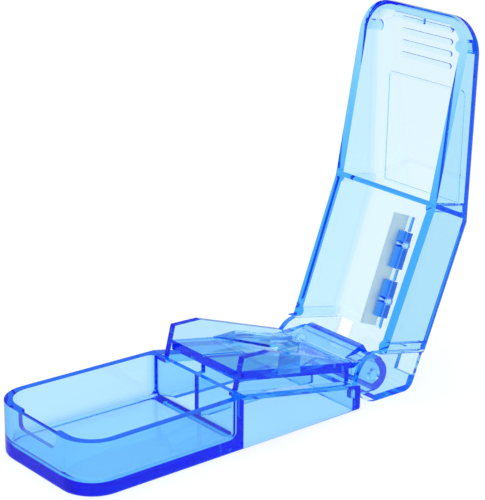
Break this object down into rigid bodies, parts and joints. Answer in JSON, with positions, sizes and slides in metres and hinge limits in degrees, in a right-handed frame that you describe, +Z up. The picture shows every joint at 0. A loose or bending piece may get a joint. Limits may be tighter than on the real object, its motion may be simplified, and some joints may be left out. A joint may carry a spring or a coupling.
{
  "type": "pill splitter",
  "caption": "Pocket pill splitter: open tray, sloping stage with a V holder, and a hinged lid that carries a clamped steel blade.",
  "frame": {"origin": "centre of the tray's underside, on the table", "axes": "+X from the tray towards the hinge, +Y across, +Z up from the table"},
  "size_m": [0.1132, 0.0362, 0.0888],
  "materials": {
    "base_plastic": "clear blue, polished",
    "lid_plastic": "clear blue, polished",
    "holder_soft": "soft clear",
    "blade_steel": "ground",
    "clamp_plastic": "deep blue"
  },
  "bodies": {
    "base": {"base": "base_plastic", "pill_holder": "holder_soft"},
    "lid": {"lid": "lid_plastic", "blade": "blade_steel", "blade_clamp_front": "clamp_plastic", "blade_clamp_rear": "clamp_plastic"}
  },
  "joints": [
    {"name": "lid_hinge", "type": "hinge", "parent": "base", "child": "lid", "pos_m": [0.0634, 0, 0.0063], "axis": [0, -1, 0], "range_deg": [0, 101.6]}
  ]
}
